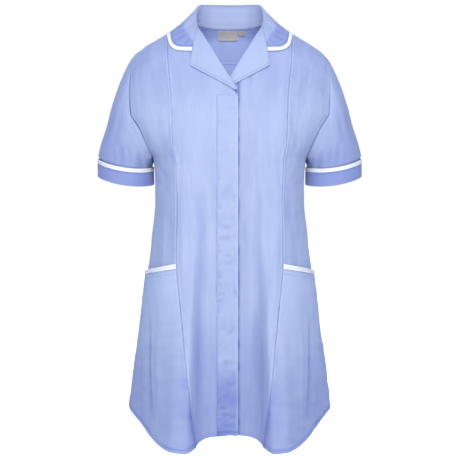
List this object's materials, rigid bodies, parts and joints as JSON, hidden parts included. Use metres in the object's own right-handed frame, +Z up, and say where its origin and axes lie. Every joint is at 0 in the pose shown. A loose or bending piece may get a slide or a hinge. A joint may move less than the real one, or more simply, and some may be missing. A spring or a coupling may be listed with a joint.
{
  "type": "maternity tunic",
  "caption": "Short-sleeved maternity tunic with a turned collar and lapels, princess seams, covered button front, side pockets and contrast piping.",
  "frame": {"origin": "midway between the two points where the shoulder seams meet the neck seam, where the shoulders of the wearer hold the garment", "axes": "+Z up to the collar; -Y out of the front; +X to the wearer's left"},
  "size_m": [0.5254, 0.3586, 0.8549],
  "materials": {
    "cloth": "pale blue polyester-cotton twill, matt",
    "piping": "white folded cotton tape, matt",
    "label": "plain woven grey-beige tape",
    "button": "dyed to match the cloth"
  },
  "bodies": {
    "root": {"front_right": "cloth", "front_left": "cloth", "front_placket": "cloth", "side_front_left": "cloth", "side_front_right": "cloth", "back_panel": "cloth", "back_yoke": "cloth", "sleeve_left": "cloth", "sleeve_right": "cloth", "cuff_left": "cloth", "cuff_right": "cloth", "pocket_left": "cloth", "pocket_right": "cloth", "lapel_left": "cloth", "lapel_right": "cloth", "collar": "cloth", "collar_piping": "piping", "cuff_piping_left": "piping", "cuff_piping_right": "piping", "pocket_piping_left": "piping", "pocket_piping_right": "piping", "neck_label": "label", "size_tab": "label", "button_1": "button", "button_2": "button", "button_3": "button", "button_4": "button", "button_5": "button", "button_6": "button"}
  },
  "joints": []
}
